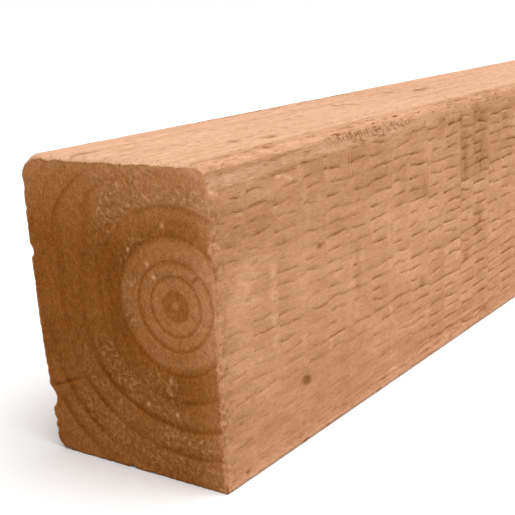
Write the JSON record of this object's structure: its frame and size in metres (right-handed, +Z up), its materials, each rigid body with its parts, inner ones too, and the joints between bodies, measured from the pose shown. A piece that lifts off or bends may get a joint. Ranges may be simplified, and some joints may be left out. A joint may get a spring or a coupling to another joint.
{
  "type": "fence post",
  "caption": "Rough-sawn rectangular timber fence post with rounded and worn arrises and square-cut flat ends, treated brown, for carrying fence panels or rails.",
  "frame": {"origin": "on the floor, under the middle of the post's length and width, with the post lying on a narrow face", "axes": "+X along the post, away from the end with the worn arris; +Y across its narrow side; +Z up its tall side"},
  "size_m": [1.8, 0.076, 0.1],
  "materials": {
    "treated_wood": "rough sawn, brown pressure treated, matt"
  },
  "bodies": {
    "root": {"post": "treated_wood"}
  },
  "joints": []
}
